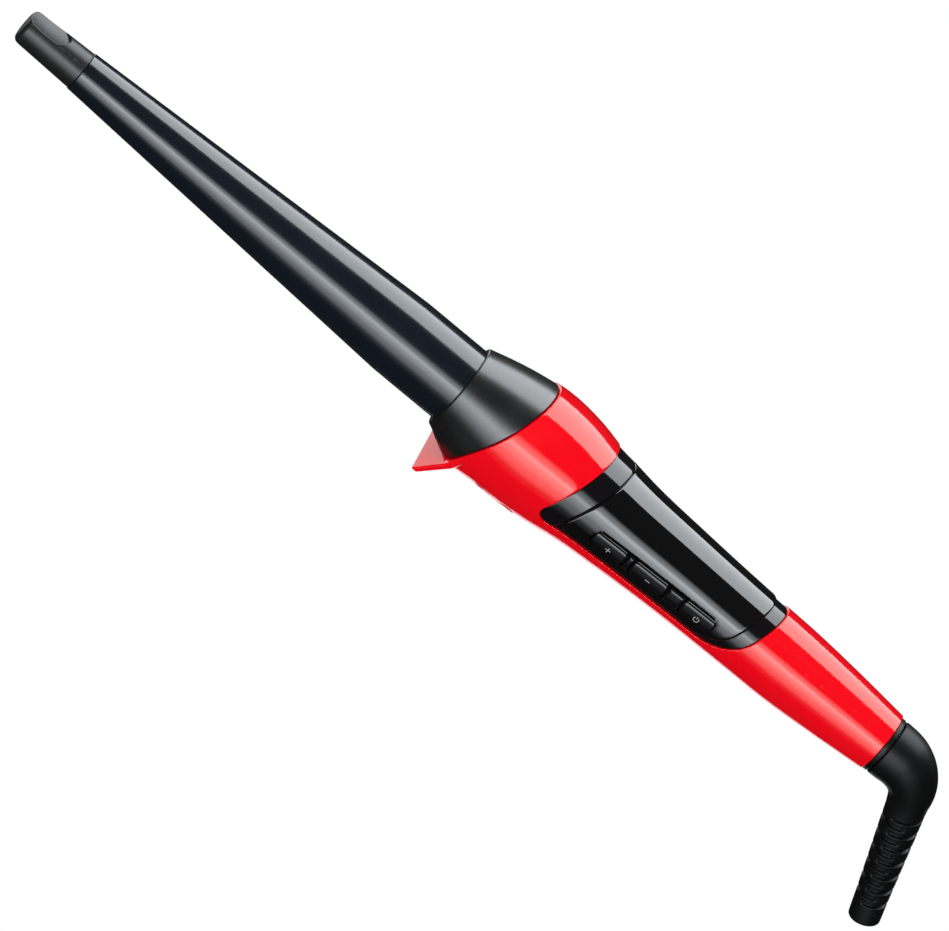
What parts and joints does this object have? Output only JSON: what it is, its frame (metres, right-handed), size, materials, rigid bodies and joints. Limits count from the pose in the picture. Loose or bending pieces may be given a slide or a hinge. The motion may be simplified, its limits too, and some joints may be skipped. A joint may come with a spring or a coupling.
{
  "type": "curling wand",
  "caption": "Clipless conical curling wand with a cool tip, moulded table stand, side buttons under a gloss display panel and a swivelling cord boot.",
  "frame": {"origin": "centre of the stand's foot, where the wand meets the table", "axes": "+X along the wand towards its cool tip, +Z towards the display side, +Y towards the buttons"},
  "size_m": [0.3655, 0.0382, 0.0732],
  "materials": {
    "coated_barrel": "gloss ceramic coating over aluminium",
    "satin_plastic": "satin",
    "gloss_red": "gloss",
    "gloss_black": "high gloss",
    "smoked_window": "high gloss, smoked",
    "boot_rubber": "matt",
    "heater_aluminium": "extruded",
    "heat_insulator": "matt",
    "ceramic": "matt",
    "copper": "bright",
    "slip_brass": "bright",
    "screw_steel": "satin",
    "circuit_board": "solder resist",
    "component_black": "matt",
    "display_face": "gloss",
    "white_plastic": "matt",
    "wire_white": "satin",
    "wire_red": "satin",
    "wire_blue": "satin"
  },
  "bodies": {
    "wand": {"cool_tip": "satin_plastic", "tip_insulator": "heat_insulator", "tip_screw": "screw_steel", "barrel": "coated_barrel", "heater_block_upper": "heater_aluminium", "heater_block_lower": "heater_aluminium", "electrode_upper": "copper", "electrode_lower": "copper", "heater_chip_front": "ceramic", "heater_chip_middle": "ceramic", "heater_chip_rear": "ceramic", "thermistor": "ceramic", "thermal_fuse": "screw_steel", "barrel_seat": "heat_insulator", "retaining_ring": "heat_insulator", "collar": "satin_plastic", "upper_shell": "gloss_red", "lower_shell": "gloss_red", "housing_screw_1": "screw_steel", "housing_screw_2": "screw_steel", "housing_screw_3": "screw_steel", "control_panel": "gloss_black", "display_window": "smoked_window", "display_glass": "display_face", "display_light": "white_plastic", "control_board": "circuit_board", "key_bezel": "gloss_black", "switch_plus": "component_black", "switch_minus": "component_black", "switch_power": "component_black", "key_board": "circuit_board", "power_board": "circuit_board", "board_screw_1": "screw_steel", "board_screw_2": "screw_steel", "film_capacitor": "component_black", "triac": "component_black", "mains_fuse": "ceramic", "display_ribbon": "white_plastic", "brush_holder": "white_plastic", "brush_live": "copper", "brush_neutral": "copper", "sensor_lead": "wire_white", "heater_lead_live": "wire_red", "heater_lead_neutral": "wire_blue", "fuse_link": "wire_white", "mains_lead_live": "wire_red", "mains_lead_neutral": "wire_blue"},
    "key_plus": {"button_plus": "gloss_black", "switch_stem_plus": "white_plastic"},
    "key_minus": {"button_minus": "gloss_black", "switch_stem_minus": "white_plastic"},
    "key_power": {"button_power": "gloss_black", "switch_stem_power": "white_plastic"},
    "cord_swivel": {"swivel_spool": "white_plastic", "slip_ring_live": "slip_brass", "slip_ring_neutral": "slip_brass", "swivel_washer": "boot_rubber", "boot": "boot_rubber"}
  },
  "joints": [
    {"name": "press_plus", "type": "slide", "parent": "wand", "child": "key_plus", "axis": [0.0494, -0.9988, 0], "range_m": [0, 0.0006], "stiffness_N_per_m": 1200, "springref_m": -0.0006},
    {"name": "press_minus", "type": "slide", "parent": "wand", "child": "key_minus", "axis": [0.0494, -0.9988, 0], "range_m": [0, 0.0006], "stiffness_N_per_m": 1200, "springref_m": -0.0006},
    {"name": "press_power", "type": "slide", "parent": "wand", "child": "key_power", "axis": [0.0494, -0.9988, 0], "range_m": [0, 0.0006], "stiffness_N_per_m": 1200, "springref_m": -0.0006},
    {"name": "cord_swivel_turn", "type": "hinge", "parent": "wand", "child": "cord_swivel", "pos_m": [-0.158, 0, 0.0212], "axis": [1, 0, 0], "continuous": true}
  ]
}
